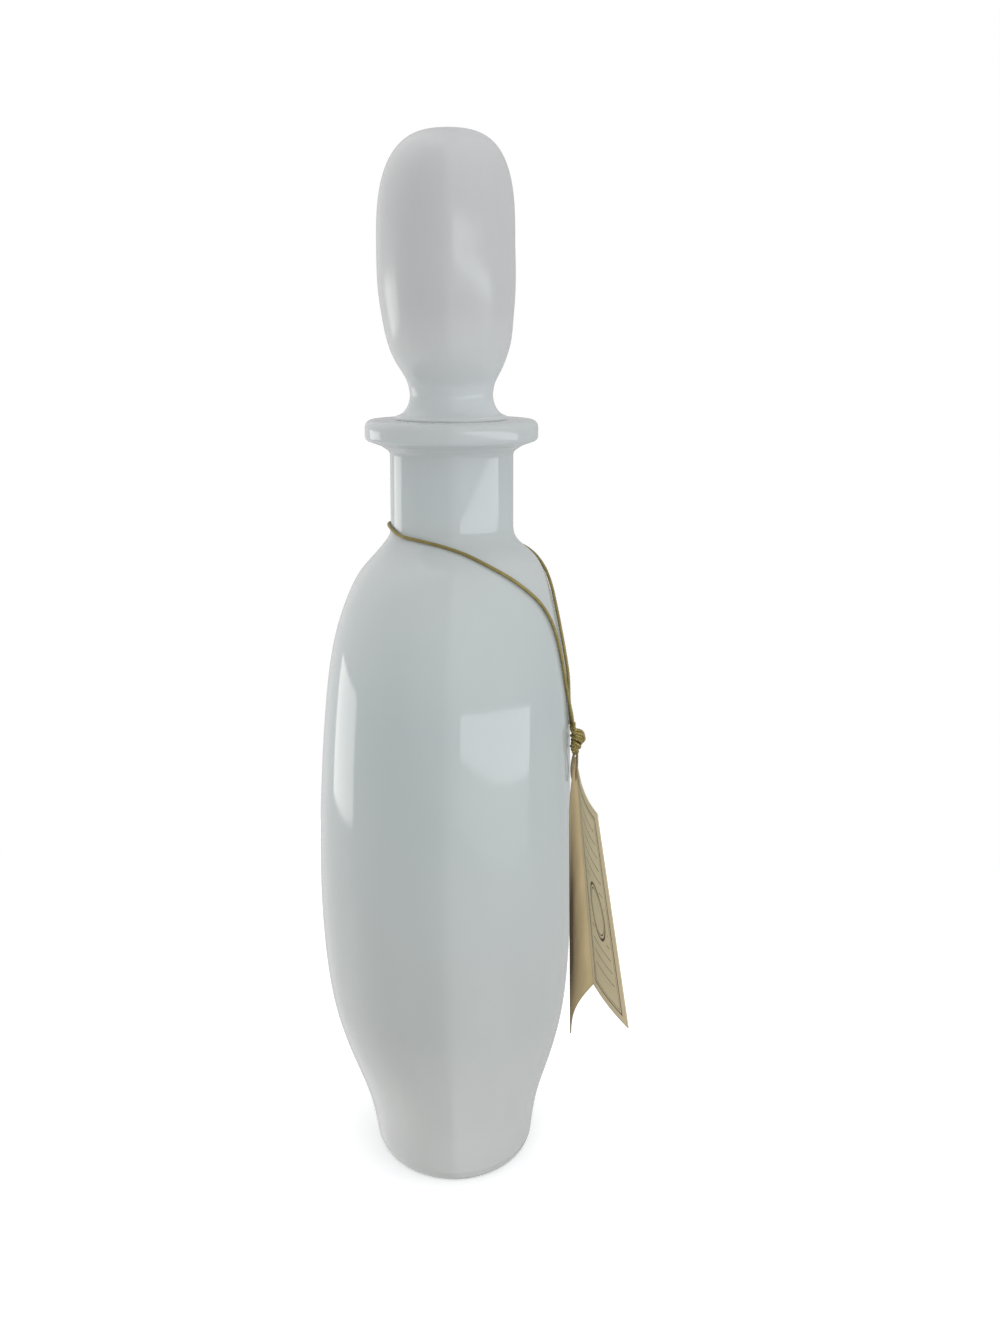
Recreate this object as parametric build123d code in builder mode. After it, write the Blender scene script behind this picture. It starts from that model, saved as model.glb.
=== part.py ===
from build123d import *
import math
import os

os.makedirs("parts", exist_ok=True)

# Liquor decanter in opal glass, with a glass stopper and a folded hang tag on a cord.
# Millimetres, +Z up. X is the thin way through the bottle: the flatter front, where the tag hangs,
# faces +X and the rounder back faces -X. Y is the broad way. The origin lies on the surface that the
# decanter stands on, under the middle of the belly.

# Body
belly_thickness = 75.6
belly_depth = 105.6
belly_height = 85.0
belly_lean = 2.2
shoulder_top = 187.5
glass_wall = 4.4

# Foot
foot_thickness = 46.6
foot_depth = 74.0
foot_edge_radius = 2.0
floor_thickness = 8.0
floor_corner_radius = 6.0
recess_depth = 2.4
recess_rim = 7.0

# Neck and lip
neck_radius = 17.9
lip_top = 218.8
lip_radius = 25.1
lip_edge_height = 5.8
lip_slope_height = 1.6
lip_slope_radius = 20.6
lip_neck_height = 1.8
lip_edge_radius = 2.2
lip_corner_radius = 1.6
mouth_chamfer = 0.8

# Stopper
head_height = 73.8
head_thickness = 39.5
head_depth = 54.8
head_lean = 1.4
crown_height = 32.0
crown_lean = 0.6
crown_power = 2.9
waist_radius = 12.0
waist_height = 7.2
collar_radius = 16.4
collar_height = 1.0
spigot_radius = 9.4
spigot_length = 27.0
bead_radius = 10.4
bead_height = 2.4
bead_edge_radius = 0.8

# Plastic seal round the stopper's spigot
seal_clearance = 0.05
seal_end_gap = 0.1
seal_wall = 2.2
rib_count = 4
rib_height = 1.6
rib_edge_radius = 0.5

# Cord, its knot and the thread that carries the tag
cord_diameter = 1.0
thread_diameter = 0.6
knot_x = 38.1
knot_y = -9.5
knot_top = 130.3
knot_length = 8.9
knot_top_radius = 1.2
knot_body_radius = 1.2
knot_wrap_radius = 1.4
knot_wrap_thickness = 1.7
knot_tip_radius = 0.9
knot_wrap_out = 0.9
knot_wrap_tilt = 18.0
knot_wrap_share = 0.45

# Folded card tag
tag_width = 27.0
tag_height = 73.0
card_thickness = 0.35
crease_clearance = 0.05
crease_gap = 0.2
fold_x = 38.9
fold_y = -6.0
fold_top = 114.2
fold_lean_out = 5.3
fold_lean_back = 11.3
spread_top = 8.5
spread_bottom = 18.5
hole_radius = 1.25
hole_from_fold = 4.2
hole_from_top = 3.4

# One overrun for every cut that passes through a face
overrun = 1.0

# The neck and the foot stand forward of the belly's middle, because the back bulges more than the front.
neck_x = belly_lean
bore_radius = neck_radius - glass_wall
upright = Plane(origin=(neck_x, 0, 0), x_dir=(1, 0, 0), z_dir=(0, -1, 0))
neck_axis = Axis((neck_x, 0, 0), (0, 0, 1))

# Each row of shares is one level of an outline: how high it lies on its stretch, how far its half
# thickness and half depth have grown from the small end to the large, and how far it leans back.
lower_shares = [
    (0.179, 0.189, 0.185, 0.18),
    (0.334, 0.499, 0.530, 0.36),
    (0.487, 0.763, 0.785, 0.62),
    (0.715, 0.939, 0.945, 0.90),
    (1.000, 1.000, 1.000, 1.00),
]
upper_shares = [
    (0.254, 0.968, 0.975, 1.00),
    (0.496, 0.914, 0.890, 0.70),
    (0.634, 0.834, 0.800, 0.60),
    (0.732, 0.726, 0.680, 0.50),
    (0.810, 0.601, 0.545, 0.30),
    (0.876, 0.453, 0.395, 0.00),
    (0.927, 0.254, 0.220, -0.25),
    (0.956, 0.107, 0.095, -0.05),
    (0.980, 0.022, 0.020, 0.00),
    (1.000, 0.000, 0.000, 0.00),
]
head_shares = [
    (0.000, 0.000, 0.000, 0.00),
    (0.077, 0.080, 0.065, 0.00),
    (0.148, 0.272, 0.245, 0.00),
    (0.227, 0.497, 0.470, 0.20),
    (0.350, 0.733, 0.715, 0.40),
    (0.500, 0.869, 0.860, 0.63),
    (0.693, 0.980, 0.972, 0.83),
    (1.000, 1.000, 1.000, 1.00),
]
crown_shares = [0.30, 0.50, 0.67, 0.80, 0.90, 0.96, 0.99]


def levels(low, high, small_x, small_y, large_x, large_y, lean, shares):
    """Height, half sizes and lean of each level of one stretch of an outline."""
    rows = []
    for height_share, x_share, y_share, lean_share in shares:
        height = low + height_share * (high - low)
        half_x = small_x + x_share * (large_x - small_x)
        half_y = small_y + y_share * (large_y - small_y)
        rows.append((height, half_x, half_y, lean_share * lean))
    return rows


def ellipses(rows, inset):
    """One ellipse at each level, drawn in by the inset, for a loft to pass through."""
    sections = []
    for height, half_x, half_y, lean in rows:
        with BuildSketch(Plane.XY.offset(height)) as level:
            with Locations((neck_x - lean, 0)):
                Ellipse(half_x - inset, half_y - inset)
        sections.append(level.sketch)
    return sections


def bend_radii(points):
    """The radius at each corner of a route: 0.45 of the shorter run over the tangent of half the turn."""
    corners = [Vector(*point) for point in points]
    radii = []
    for before, here, after in zip(corners, corners[1:], corners[2:]):
        shorter_run = min((here - before).length, (after - here).length)
        turn = math.radians((here - before).get_angle(after - here))
        radii.append(0.45 * shorter_run / math.tan(turn / 2))
    return radii


# Body of the decanter: its outline from the foot, over the belly, to the root of the neck
foot_x = foot_thickness / 2
foot_y = foot_depth / 2
belly_x = belly_thickness / 2
belly_y = belly_depth / 2
foot_row = (0, foot_x, foot_y, 0)
floor_row = (floor_thickness, foot_x, foot_y, 0)
body_rows = levels(0, belly_height, foot_x, foot_y, belly_x, belly_y, belly_lean, lower_shares)
body_rows += levels(
    belly_height, shoulder_top, neck_radius, neck_radius, belly_x, belly_y, belly_lean, upper_shares
)

lip_low = lip_top - lip_edge_height
lip_slope_low = lip_low - lip_slope_height
lip_neck_low = lip_slope_low - lip_neck_height

with BuildPart() as cavity:
    loft(ellipses([floor_row] + body_rows, glass_wall))
    fillet(cavity.faces().sort_by(Axis.Z)[0].edges(), floor_corner_radius)

with BuildPart() as decanter:
    loft(ellipses([foot_row] + body_rows, 0))
    fillet(decanter.faces().sort_by(Axis.Z)[0].edges(), foot_edge_radius)
    with BuildSketch(upright):
        with BuildLine():
            Polyline(
                (0, shoulder_top),
                (neck_radius, shoulder_top),
                (neck_radius, lip_neck_low),
                (lip_slope_radius, lip_slope_low),
                (lip_radius, lip_low),
                (lip_radius, lip_top),
                (0, lip_top),
                close=True,
            )
        make_face()
    revolve(axis=neck_axis)
    rings = decanter.edges().filter_by(GeomType.CIRCLE)
    fillet(rings.filter_by_position(Axis.Z, lip_top - overrun, lip_top + overrun), lip_edge_radius)
    lip_corner = decanter.edges().filter_by(GeomType.CIRCLE).filter_by_position(
        Axis.Z, lip_low - lip_slope_height / 2, lip_low + lip_slope_height / 2
    )
    fillet(lip_corner, lip_corner_radius)
    add(cavity.part, mode=Mode.SUBTRACT)
    with BuildSketch(Plane.XY.offset(lip_top)):
        with Locations((neck_x, 0)):
            Circle(bore_radius)
    extrude(amount=shoulder_top - lip_top - overrun, mode=Mode.SUBTRACT)
    mouth = decanter.edges().filter_by(GeomType.CIRCLE).sort_by(Axis.Z).group_by(Axis.Z)[-1]
    chamfer(mouth.sort_by(SortBy.RADIUS)[0], mouth_chamfer)
    with BuildSketch():
        with Locations((neck_x, 0)):
            Ellipse(foot_x - recess_rim, foot_y - recess_rim)
    extrude(amount=recess_depth, mode=Mode.SUBTRACT)

decanter.part.label = "decanter"
export_step(decanter.part, "parts/decanter.step")
print("decanter", round(decanter.part.volume), decanter.part.is_valid)
print("hollow", round(cavity.part.volume / 1000), "ml")

# Stopper: a flattened head on a round waist, a collar that rests on the lip, and a spigot
head_x = head_thickness / 2
head_y = head_depth / 2
waist_z = lip_top + waist_height
stopper_top = waist_z + head_height
crown_low = stopper_top - crown_height
spigot_low = lip_top - spigot_length
collar_top = lip_top + collar_height
head_rows = levels(waist_z, crown_low, waist_radius, waist_radius, head_x, head_y, head_lean, head_shares)
for rise_share in crown_shares:
    draw_in = (1 - rise_share**crown_power) ** (1 / crown_power)
    lean = head_lean + rise_share**2 * (crown_lean - head_lean)
    head_rows.append((crown_low + rise_share * crown_height, head_x * draw_in, head_y * draw_in, lean))

with BuildPart() as stopper:
    loft(ellipses(head_rows, 0) + [Vertex(neck_x - crown_lean, 0, stopper_top)])
    with BuildSketch(upright):
        with BuildLine():
            flare = Spline(
                (waist_radius, waist_z),
                (collar_radius, collar_top),
                tangents=[(0, -1), (1, 0)],
            )
            Polyline(
                flare @ 1,
                (collar_radius, lip_top),
                (spigot_radius, lip_top),
                (spigot_radius, spigot_low),
                (bead_radius, spigot_low),
                (bead_radius, spigot_low - bead_height),
                (0, spigot_low - bead_height),
                (0, waist_z),
                (waist_radius, waist_z),
            )
        make_face()
    revolve(axis=neck_axis)
    bead_low = spigot_low - bead_height
    rings = stopper.edges().filter_by(GeomType.CIRCLE)
    fillet(rings.filter_by_position(Axis.Z, bead_low - overrun, bead_low + overrun), bead_edge_radius)

stopper.part.label = "stopper"
export_step(stopper.part, "parts/stopper.step")

# Seal: a plastic sleeve with ribs that grip the bore, held on the spigot by its bead
seal_bore = spigot_radius + seal_clearance
seal_radius = bore_radius - seal_clearance
seal_core = seal_bore + seal_wall
seal_low = spigot_low + seal_end_gap
seal_high = lip_top - seal_end_gap - mouth_chamfer
rib_pitch = (seal_high - seal_low - rib_height) / (rib_count - 1)

with BuildPart() as stopper_seal:
    with BuildSketch(Plane.XY.offset(seal_low)):
        with Locations((neck_x, 0)):
            Circle(seal_core)
    extrude(amount=seal_high - seal_low)
    for rib in range(rib_count):
        with BuildSketch(Plane.XY.offset(seal_low + rib * rib_pitch)):
            with Locations((neck_x, 0)):
                Circle(seal_radius)
        extrude(amount=rib_height)
    rings = stopper_seal.edges().filter_by(GeomType.CIRCLE)
    fillet(rings.group_by(SortBy.RADIUS)[-1], rib_edge_radius)
    with BuildSketch(Plane.XY.offset(seal_low)):
        with Locations((neck_x, 0)):
            Circle(seal_bore)
    extrude(amount=seal_high - seal_low, mode=Mode.SUBTRACT)

stopper_seal.part.label = "stopper_seal"
export_step(stopper_seal.part, "parts/stopper_seal.step")

# Cord: from the knot up the near shoulder, round the root of the neck, and down the far shoulder.
# The two strands wind once round each other above the knot.
cord_points = [
    (37.8, -10.2, 130.3),
    (37.6, -10.9, 132.3),
    (37.2, -12.2, 134.2),
    (36.5, -13.6, 136.7),
    (35.7, -14.9, 139.7),
    (35.0, -16.2, 143.7),
    (34.0, -17.1, 149.3),
    (32.6, -17.3, 156.1),
    (30.5, -18.3, 162.5),
    (27.4, -20.9, 168.1),
    (23.3, -24.0, 172.4),
    (18.3, -26.0, 176.1),
    (12.2, -26.0, 179.6),
    (6.0, -23.5, 182.5),
    (-0.3, -20.8, 184.4),
    (-6.9, -17.6, 185.6),
    (-12.9, -12.2, 186.4),
    (-16.1, -5.5, 188.3),
    (-16.9, 1.4, 189.0),
    (-15.1, 8.1, 188.6),
    (-10.8, 14.1, 187.8),
    (-4.4, 18.2, 186.6),
    (3.1, 20.0, 185.4),
    (11.2, 19.5, 184.1),
    (18.7, 16.1, 182.6),
    (25.2, 11.4, 180.2),
    (29.2, 5.4, 176.3),
    (31.5, -0.4, 171.7),
    (32.8, -5.6, 165.8),
    (34.0, -9.2, 159.0),
    (35.1, -11.2, 151.7),
    (35.9, -12.1, 145.2),
    (36.1, -12.4, 140.0),
    (36.5, -11.6, 136.5),
    (36.8, -10.3, 134.2),
    (37.4, -9.2, 132.2),
    (37.8, -8.8, 130.3),
]

with BuildPart() as neck_cord:
    with BuildLine() as cord_route:
        FilletPolyline(*cord_points, radius=bend_radii(cord_points))
    with BuildSketch(Plane(origin=cord_route.line @ 0, z_dir=cord_route.line % 0)):
        Circle(cord_diameter / 2)
    sweep()

neck_cord.part.label = "neck_cord"
export_step(neck_cord.part, "parts/neck_cord.step")

# Knot: the cord's ends drawn together in a lump, with one turn wrapped round it
knot_low = knot_top - knot_length
knot_upright = Plane(origin=(knot_x, knot_y, 0), x_dir=(1, 0, 0), z_dir=(0, -1, 0))
wrap_z = knot_top - knot_wrap_share * knot_length

with BuildPart() as cord_knot:
    with BuildSketch(knot_upright):
        with BuildLine():
            Spline(
                (knot_top_radius, knot_top),
                (knot_body_radius, wrap_z),
                (knot_tip_radius, knot_low),
                tangents=[(0, -1), (-1, -2)],
            )
            Polyline((knot_tip_radius, knot_low), (0, knot_low), (0, knot_top), (knot_top_radius, knot_top))
        make_face()
    revolve(axis=Axis((knot_x, knot_y, 0), (0, 0, 1)))
    with Locations(Location((knot_x + knot_wrap_out, knot_y, wrap_z), (0, knot_wrap_tilt, 0))):
        Torus(knot_wrap_radius, knot_wrap_thickness / 2)

cord_knot.part.label = "cord_knot"
export_step(cord_knot.part, "parts/cord_knot.step")

# Thread: from the knot down inside the fold, through the hole in the back leaf, and up again
thread_points = [
    (38.3, -9.5, 120.5),
    (38.7, -9.53, 116.5),
    (39.1, -9.58, 112.8),
    (39.05, -9.6, 110.7),
    (37.55, -9.58, 110.5),
    (37.3, -9.55, 112.7),
    (37.35, -9.52, 116.5),
    (37.5, -9.5, 120.5),
]

with BuildPart() as tag_thread:
    with BuildLine() as thread_route:
        FilletPolyline(*thread_points, radius=bend_radii(thread_points))
    with BuildSketch(Plane(origin=thread_route.line @ 0, z_dir=thread_route.line % 0)):
        Circle(thread_diameter / 2)
    sweep()

tag_thread.part.label = "tag_thread"
export_step(tag_thread.part, "parts/tag_thread.step")

# Tag: one card folded along its far edge, so that it opens towards -Y. Its crease is drawn in by the
# thread, so each leaf spreads wider at the bottom than at the top.
lean_out = math.sin(math.radians(fold_lean_out))
lean_back = math.sin(math.radians(fold_lean_back))
fold_up = Vector(-lean_out, -lean_back, math.sqrt(1 - lean_out**2 - lean_back**2))
fold_across = Vector(0, -fold_up.Z, fold_up.Y).normalized()
fold_plane = Plane(origin=(fold_x, fold_y, fold_top), x_dir=fold_across, z_dir=fold_up)


def leaf_sections(side):
    """Top and bottom sections of one leaf, on side +1 (outer) or -1 (next to the glass)."""
    sections = []
    for down, spread in ((0, spread_top), (tag_height, spread_bottom)):
        with BuildSketch(fold_plane.offset(-down)) as section:
            with Locations(Location((0, 0), side * spread)):
                with Locations((crease_gap, side * (crease_clearance + card_thickness / 2))):
                    Rectangle(
                        tag_width - crease_gap, card_thickness, align=(Align.MIN, Align.CENTER)
                    )
        sections.append(section.sketch)
    return sections


with BuildPart() as tag_back_leaf:
    loft(leaf_sections(-1), ruled=True)
    with BuildSketch(Plane(origin=fold_plane.origin, x_dir=fold_across, z_dir=-fold_plane.y_dir)) as hole:
        with Locations((hole_from_fold, -hole_from_top)):
            Circle(hole_radius)
    extrude(amount=tag_width, mode=Mode.SUBTRACT)

with BuildPart() as tag_front_leaf:
    loft(leaf_sections(1), ruled=True)

for leaf, name in ((tag_back_leaf, "tag_back_leaf"), (tag_front_leaf, "tag_front_leaf")):
    leaf.part.label = name
    export_step(leaf.part, f"parts/{name}.step")

for name, cord, route, diameter, points in (
    ("neck_cord", neck_cord, cord_route, cord_diameter, cord_points),
    ("tag_thread", tag_thread, thread_route, thread_diameter, thread_points),
):
    length = sum(edge.length for edge in route.line.edges())
    expected = length * math.pi * diameter**2 / 4
    print(name, "length", round(length, 1))
    print(name, "volume over section times length", round(cord.part.volume / expected, 4))
    print(name, "bend radii", [round(radius, 1) for radius in bend_radii(points)])
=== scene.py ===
# %% [markdown]
# A liquor decanter in opal glass, with a glass stopper and a folded hang tag on a gold cord.
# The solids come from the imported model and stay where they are. This script dresses them: it lays
# smooth surfaces over the glass, twists the cord, ties its knot, folds the card and lights the scene.
# The scene is in metres, with +Z up and +X out of the flatter front, where the tag hangs. Shapes are
# worked out in millimetres and turned into metres when their mesh is made.

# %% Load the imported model
import math

import bpy
import numpy as np
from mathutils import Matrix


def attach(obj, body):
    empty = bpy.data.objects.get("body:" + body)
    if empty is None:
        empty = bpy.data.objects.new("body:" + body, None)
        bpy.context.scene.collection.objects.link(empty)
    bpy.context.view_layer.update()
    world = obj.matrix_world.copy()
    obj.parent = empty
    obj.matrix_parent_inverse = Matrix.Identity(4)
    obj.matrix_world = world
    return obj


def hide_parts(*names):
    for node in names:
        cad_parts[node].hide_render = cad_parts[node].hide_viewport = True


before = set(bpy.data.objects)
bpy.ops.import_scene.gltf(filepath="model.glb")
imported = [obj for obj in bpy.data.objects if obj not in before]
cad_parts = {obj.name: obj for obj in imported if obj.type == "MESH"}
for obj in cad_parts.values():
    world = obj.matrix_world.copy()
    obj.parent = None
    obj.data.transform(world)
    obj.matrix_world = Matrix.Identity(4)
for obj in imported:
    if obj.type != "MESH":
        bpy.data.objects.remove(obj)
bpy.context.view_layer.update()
scene = bpy.context.scene
scene.view_settings.view_transform = "Standard"
MM = 0.001
print("nodes:", list(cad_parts))

# %% [markdown]
# The photograph was taken from about half a metre away, level with the stopper and looking a little
# down, because the foot's edge curves more than the lip's. A camera that close shows the lip from
# almost level and the foot from above. The lens follows from how large the decanter stands in the frame.

# %% Camera
CAMERA_PLACE = (0.0022, -0.530, 0.248)
LOOK_DOWN, LOOK_RIGHT = 10.9, 1.515
camera_data = bpy.data.cameras.new("camera")
camera_data.sensor_fit = "VERTICAL"
camera_data.sensor_height = 36.0
camera_data.lens = 49.1
camera_data.clip_start = 0.01
camera = bpy.data.objects.new("camera", camera_data)
camera.location = CAMERA_PLACE
camera.rotation_euler = (math.radians(90 - LOOK_DOWN), 0, math.radians(-LOOK_RIGHT))
scene.collection.objects.link(camera)
scene.camera = camera

# %% [markdown]
# Every piece below is a surface worked out with numpy. A few small helpers carry them all: one turns
# arrays of points and faces into a mesh, two list the faces of a grid and of a fan that closes its end,
# one measures along a line of points, and one draws a smooth line through a few known sizes. A mesh
# could be pushed into shape by hand instead, but numbers keep the glass as thick and as round as the
# solid under it.

# %% Mesh helpers
def add_mesh(name, points, faces, material=None, uv=None):
    """A smooth-shaded mesh object from points, faces and, if given, one UV pair for each point."""
    mesh = bpy.data.meshes.new(name)
    mesh.from_pydata(np.asarray(points, float).tolist(), [], faces)
    mesh.polygons.foreach_set("use_smooth", np.ones(len(mesh.polygons), bool))
    if uv is not None:
        corners = np.empty(len(mesh.loops), int)
        mesh.loops.foreach_get("vertex_index", corners)
        layer = mesh.uv_layers.new(name="UVMap")
        layer.data.foreach_set("uv", np.asarray(uv, float)[corners].ravel())
    mesh.update()
    piece = bpy.data.objects.new(name, mesh)
    scene.collection.objects.link(piece)
    if material is not None:
        mesh.materials.append(material)
    return piece


def grid_faces(rows, columns, wrap_rows=False, wrap_columns=False):
    """Four-sided faces of a grid of points. A wrapped side is joined to the side across from it."""
    across = np.arange(columns if wrap_columns else columns - 1)
    down = np.arange(rows if wrap_rows else rows - 1)[:, None]
    next_across = (across + 1) % columns
    next_down = (down + 1) % rows
    corners = [down * columns + across, down * columns + next_across,
               next_down * columns + next_across, next_down * columns + across]
    return np.stack(corners, axis=-1).reshape(-1, 4).tolist()


def fan_faces(middle, ring, reverse=False):
    """Triangles from one middle point to each pair of neighbours round a closed ring of points."""
    pair = (np.roll(ring, -1), ring) if reverse else (ring, np.roll(ring, -1))
    return np.stack([np.full(len(ring), middle), *pair], axis=1).tolist()


def running_length(points):
    """The way run along a line of points: zero at the first, then the sum of the steps so far."""
    steps = np.linalg.norm(np.diff(points, axis=0), axis=1)
    return np.concatenate([[0], np.cumsum(steps)])


def smooth_line(knots, values, at):
    """A natural cubic spline: between two knots each value is a cubic, the cubics meet with equal slope
    and bend, and the bend is zero at both ends."""
    gap = np.diff(knots)
    count = len(knots)
    matrix = np.zeros((count, count))
    right = np.zeros((count, values.shape[1]))
    inner = np.arange(1, count - 1)
    matrix[0, 0] = matrix[-1, -1] = 1
    matrix[inner, inner - 1] = gap[:-1]
    matrix[inner, inner] = 2 * (gap[:-1] + gap[1:])
    matrix[inner, inner + 1] = gap[1:]
    slope = np.diff(values, axis=0) / gap[:, None]
    right[inner] = 6 * np.diff(slope, axis=0)
    bend = np.linalg.solve(matrix, right)
    span = np.clip(np.searchsorted(knots, at) - 1, 0, count - 2)
    width = gap[span][:, None]
    left = ((knots[span + 1] - at) / gap[span])[:, None]
    rest = 1 - left
    return (left * values[span] + rest * values[span + 1]
            + ((left**3 - left) * bend[span] + (rest**3 - rest) * bend[span + 1]) * width**2 / 6)


# %% [markdown]
# The belly is an ellipse at every height. Its half thickness, half depth and backward lean are known at
# a few levels, from the foot, over the belly, to the root of the neck, and the smooth line above fills
# in the rest. The foot, the belly and the neck each hold a half thickness, a half depth and a lean, and
# a level holds four shares: of the height, of those two sizes, and of the lean. The cord lies on this
# surface, so the surface comes first.

# %% Outline of the decanter
NECK_X = 2.2
BELLY = np.array([37.8, 52.8, 2.2])
FOOT = np.array([23.3, 37.0, 0.0])
NECK = np.array([17.9, 17.9, 0.0])
BELLY_HEIGHT = 85.0
SHOULDER_TOP = 187.5
OUTLINE_LEVELS = 1200
lower_shares = np.array([
    (0.000, 0.000, 0.000, 0.00), (0.179, 0.189, 0.185, 0.18), (0.334, 0.499, 0.530, 0.36),
    (0.487, 0.763, 0.785, 0.62), (0.715, 0.939, 0.945, 0.90), (1.000, 1.000, 1.000, 1.00)])
upper_shares = np.array([
    (0.254, 0.968, 0.975, 1.00), (0.496, 0.914, 0.890, 0.70), (0.634, 0.834, 0.800, 0.60),
    (0.732, 0.726, 0.680, 0.50), (0.810, 0.601, 0.545, 0.30), (0.876, 0.453, 0.395, 0.00),
    (0.927, 0.254, 0.220, -0.25), (0.956, 0.107, 0.095, -0.05), (0.980, 0.022, 0.020, 0.00),
    (1.000, 0.000, 0.000, 0.00)])


def stretch(low, high, small, large, shares):
    """Levels of one stretch: height, half thickness, half depth and lean, each between two ends."""
    height = low + shares[:, :1] * (high - low)
    sizes = small[:2] + shares[:, 1:3] * (large[:2] - small[:2])
    return np.hstack([height, sizes, shares[:, 3:] * large[2]])


def drawn_out(levels, count):
    """Many levels on the smooth line through a few, evenly spaced by the way run in height and half
    thickness."""
    run = running_length(levels[:, :2])
    return smooth_line(run, levels, np.linspace(0, run[-1], count))


levels = np.vstack([
    stretch(0, BELLY_HEIGHT, FOOT, BELLY, lower_shares),
    stretch(BELLY_HEIGHT, SHOULDER_TOP, NECK, BELLY, upper_shares)])
outline = drawn_out(levels, OUTLINE_LEVELS)


def glass_sizes(height):
    """Half thickness, half depth and middle of the glass at each height, in millimetres."""
    sizes = [np.interp(height, outline[:, 0], outline[:, column]) for column in (1, 2, 3)]
    return sizes[0], sizes[1], NECK_X - sizes[2]


def glass_side(points):
    """How far points lie outside the ellipse at their height: the scaled radius less one."""
    half_x, half_y, middle = glass_sizes(points[:, 2])
    return np.hypot((points[:, 0] - middle) / half_x, points[:, 1] / half_y) - 1


def glass_normals(points, step=0.05):
    """Outward direction of the glass near each point: the slope of glass_side along each axis."""
    moves = np.eye(3) * step
    slopes = [glass_side(points + move) - glass_side(points - move) for move in moves]
    normals = np.stack(slopes, axis=1) / (2 * step)
    return normals / np.linalg.norm(normals, axis=1)[:, None]


print("levels:", len(levels), "belly", outline[:, 1].max() * 2, "x", outline[:, 2].max() * 2, "mm")

# %% [markdown]
# The cord is about a millimetre thick: gold thread laid up in plies. It leaves the knot at the front,
# climbs the near shoulder, lies round the root of the neck and comes down the far shoulder, and its two
# strands cross once above the knot. Its route is a smooth NURBS spline through given points, which
# bends as a limp cord does. The same points, in millimetres, carry the solid cord.

# %% Route of the cord
cord_points = np.array([
    (37.3, -10.4, 130.6), (37.1, -11.8, 132.2), (36.7, -12.9, 134.6), (36.0, -13.3, 137.7),
    (35.4, -14.1, 140.7), (34.8, -15.3, 144.2), (33.9, -16.1, 149.5), (32.6, -16.0, 156.1),
    (30.6, -17.3, 162.4), (27.5, -20.1, 167.9), (23.3, -23.5, 172.2), (18.4, -25.5, 176.1),
    (12.3, -25.5, 179.5), (6.1, -23.0, 182.4), (-0.4, -20.3, 184.3), (-7.1, -17.1, 185.6),
    (-13.0, -11.7, 186.2), (-15.8, -5.0, 188.1), (-16.5, 1.5, 188.6), (-14.8, 8.1, 188.1),
    (-10.6, 13.8, 187.5), (-4.4, 17.9, 186.4), (3.1, 19.7, 185.3), (11.3, 19.2, 183.8),
    (19.0, 15.7, 182.2), (25.5, 10.1, 179.9), (29.2, 4.4, 176.0), (31.1, -1.3, 171.5),
    (32.3, -6.1, 165.8), (33.6, -8.9, 159.0), (35.0, -9.8, 151.4), (36.0, -10.3, 144.5),
    (36.0, -11.9, 139.1), (36.2, -12.2, 135.5), (36.4, -11.5, 133.3), (36.7, -10.3, 131.9),
    (36.8, -9.2, 130.6)])


def spline_path(name, points, resolution):
    """Points along a NURBS spline of order 3 whose control points are given, in millimetres. The curve
    has no bevel, so Blender's own mesh of it is its centre line."""
    curve = bpy.data.curves.new(name, "CURVE")
    curve.dimensions = "3D"
    spline = curve.splines.new("NURBS")
    spline.points.add(len(points) - 1)
    spline.points.foreach_set("co", np.hstack([points, np.ones((len(points), 1))]).ravel())
    spline.order_u = 3
    spline.use_endpoint_u = True
    curve.resolution_u = resolution
    spline.resolution_u = resolution
    holder = bpy.data.objects.new(name, curve)
    scene.collection.objects.link(holder)
    line = bpy.data.meshes.new_from_object(holder)
    path = np.empty(len(line.vertices) * 3)
    line.vertices.foreach_get("co", path)
    bpy.data.objects.remove(holder)
    bpy.data.meshes.remove(line)
    return path.reshape(-1, 3)


cord_path = spline_path("cord_line", cord_points, resolution=34)
print("cord length", round(running_length(cord_path)[-1], 1), "mm from", len(cord_path), "points")

# %% [markdown]
# Gold cord is plies of wrapped thread twisted round each other. A plain tube with a striped picture
# would look flat at the edge, so the twist is in the shape: the section is a rounded clover whose lobes
# turn as they go along. The rings are set square to the path, with one side kept towards the outside of
# the glass so that they never spin by themselves.

# %% Twisted cord
PLIES = 3
PLY_DEPTH = 0.22
CORD_RADIUS, CORD_PITCH, CORD_COLUMNS = 0.5, 3.4, 24


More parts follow.
